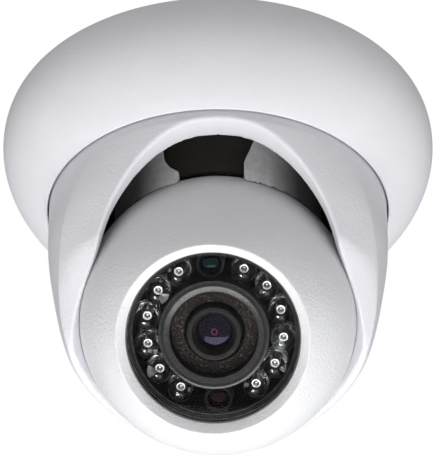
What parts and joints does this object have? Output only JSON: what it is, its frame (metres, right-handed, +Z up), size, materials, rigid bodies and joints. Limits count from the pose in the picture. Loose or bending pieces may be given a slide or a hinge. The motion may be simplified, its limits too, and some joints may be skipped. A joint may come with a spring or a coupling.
{
  "type": "dome security camera",
  "caption": "Ceiling security camera: a white trim ring, a panning turret with an arched mouth, and a ball that tilts and rolls behind a round window with infrared lamps.",
  "frame": {"origin": "centre of the flat face that lies on the ceiling", "axes": "+Z up into the ceiling, so the camera hangs towards -Z; -Y is the side the lens looks to; +X to the right of someone facing the lens from the front"},
  "size_m": [0.0934, 0.0934, 0.0797],
  "materials": {
    "white_paint": "fine stippled satin paint, off-white",
    "raw_casting": "raw die casting, matt grey",
    "steel": "zinc plated",
    "black_rubber": "matt black",
    "grey_rubber": "dark grey foam and felt",
    "slip_plastic": "natural low-friction plastic",
    "black_plastic": "fine stippled black",
    "brown_plastic": "matt dark brown",
    "circuit_board": "green solder mask",
    "mask_board": "black solder mask",
    "black_anodised": "black anodised",
    "clear_glass": "polished clear",
    "coated_glass": "violet anti-reflection coating",
    "clear_epoxy": "clear moulded epoxy",
    "filter_glass": "cyan infrared-cut coating",
    "sensor_dark": "dark glossy cell face",
    "copper": "lacquered copper winding",
    "cable_jacket": "soft black cable jacket"
  },
  "bodies": {
    "base": {"base_plate": "raw_casting", "ceiling_gasket": "grey_rubber", "trim_ring": "white_paint", "lock_screw": "steel", "friction_ring": "grey_rubber", "slide_washer": "slip_plastic", "cable_grommet": "black_rubber", "lead_cable": "cable_jacket", "lead_connector": "slip_plastic"},
    "turret": {"turret_shell": "white_paint", "seat_bracket": "raw_casting", "slot_shield": "brown_plastic", "bracket_screw_1": "steel", "bracket_screw_2": "steel", "bracket_screw_3": "steel", "bracket_screw_4": "steel"},
    "swivel": {"swivel_sleeve": "slip_plastic"},
    "eyeball": {"ball_front_shell": "white_paint", "ball_rear_shell": "white_paint", "shell_seal": "grey_rubber", "shell_screw_1": "steel", "shell_screw_2": "steel", "shell_screw_3": "steel", "window": "clear_glass", "window_gasket": "black_rubber", "neck_gland": "black_rubber", "tail_cable": "cable_jacket", "ir_led_01": "clear_epoxy", "ir_led_02": "clear_epoxy", "ir_led_03": "clear_epoxy", "ir_led_04": "clear_epoxy", "ir_led_05": "clear_epoxy", "ir_led_06": "clear_epoxy", "ir_led_07": "clear_epoxy", "ir_led_08": "clear_epoxy", "ir_led_09": "clear_epoxy", "ir_led_10": "clear_epoxy", "ir_led_11": "clear_epoxy", "ir_led_12": "clear_epoxy", "led_board": "mask_board", "light_sensor": "sensor_dark", "lower_port": "black_plastic", "lens_hood": "black_rubber", "lens_baffle": "black_plastic", "lens_barrel": "black_anodised", "lens_front_glass": "coated_glass", "lens_rear_glass": "clear_glass", "lens_holder": "black_plastic", "filter_coil": "copper", "image_sensor": "sensor_dark", "sensor_board": "circuit_board", "main_board": "circuit_board", "board_post_1": "steel", "board_post_2": "steel", "board_post_3": "steel"},
    "ir_filter": {"filter_frame": "black_plastic", "day_filter": "filter_glass", "night_window": "clear_glass"}
  },
  "joints": [
    {"name": "pan", "type": "hinge", "parent": "base", "child": "turret", "pos_m": [0, 0, -0.0184], "axis": [0, 0, 1], "range_deg": [-178, 177]},
    {"name": "tilt", "type": "hinge", "parent": "turret", "child": "swivel", "pos_m": [0, 0, -0.0503], "axis": [0.9969, -0.0785, 0], "range_deg": [-24, 41]},
    {"name": "roll", "type": "hinge", "parent": "swivel", "child": "eyeball", "pos_m": [0, 0, -0.0503], "axis": [-0.0516, -0.6553, -0.7536], "range_deg": [-178, 177]},
    {"name": "filter_slide", "type": "slide", "parent": "eyeball", "child": "ir_filter", "axis": [0.9969, -0.0785, 0], "range_m": [0, 0.0065]}
  ]
}
